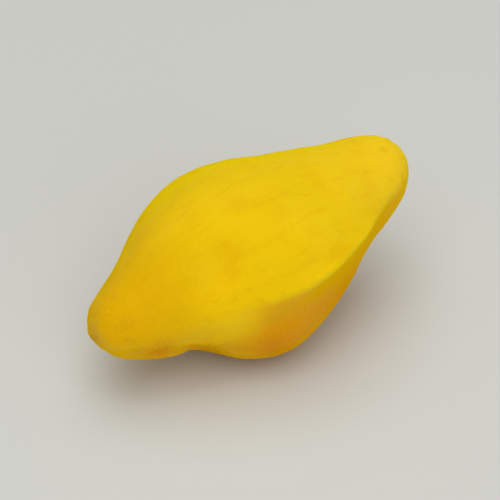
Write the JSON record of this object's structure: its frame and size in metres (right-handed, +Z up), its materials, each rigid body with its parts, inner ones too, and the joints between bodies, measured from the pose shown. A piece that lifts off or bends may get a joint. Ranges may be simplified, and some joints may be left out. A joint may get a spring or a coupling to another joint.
{
  "type": "ginkgo nut",
  "caption": "Peeled ginkgo nut kernel: a waxy golden spindle with blunt ends and a soft keel down each side, lying on its belly.",
  "frame": {"origin": "middle of the kernel's outline, on the surface that it lies on", "axes": "+X runs from the base to the blunt tip, +Z is up, and -Y is the side of the sharper keel"},
  "size_m": [0.0206, 0.012, 0.0103],
  "materials": {
    "flesh": "satin"
  },
  "bodies": {
    "root": {"kernel": "flesh"}
  },
  "joints": []
}
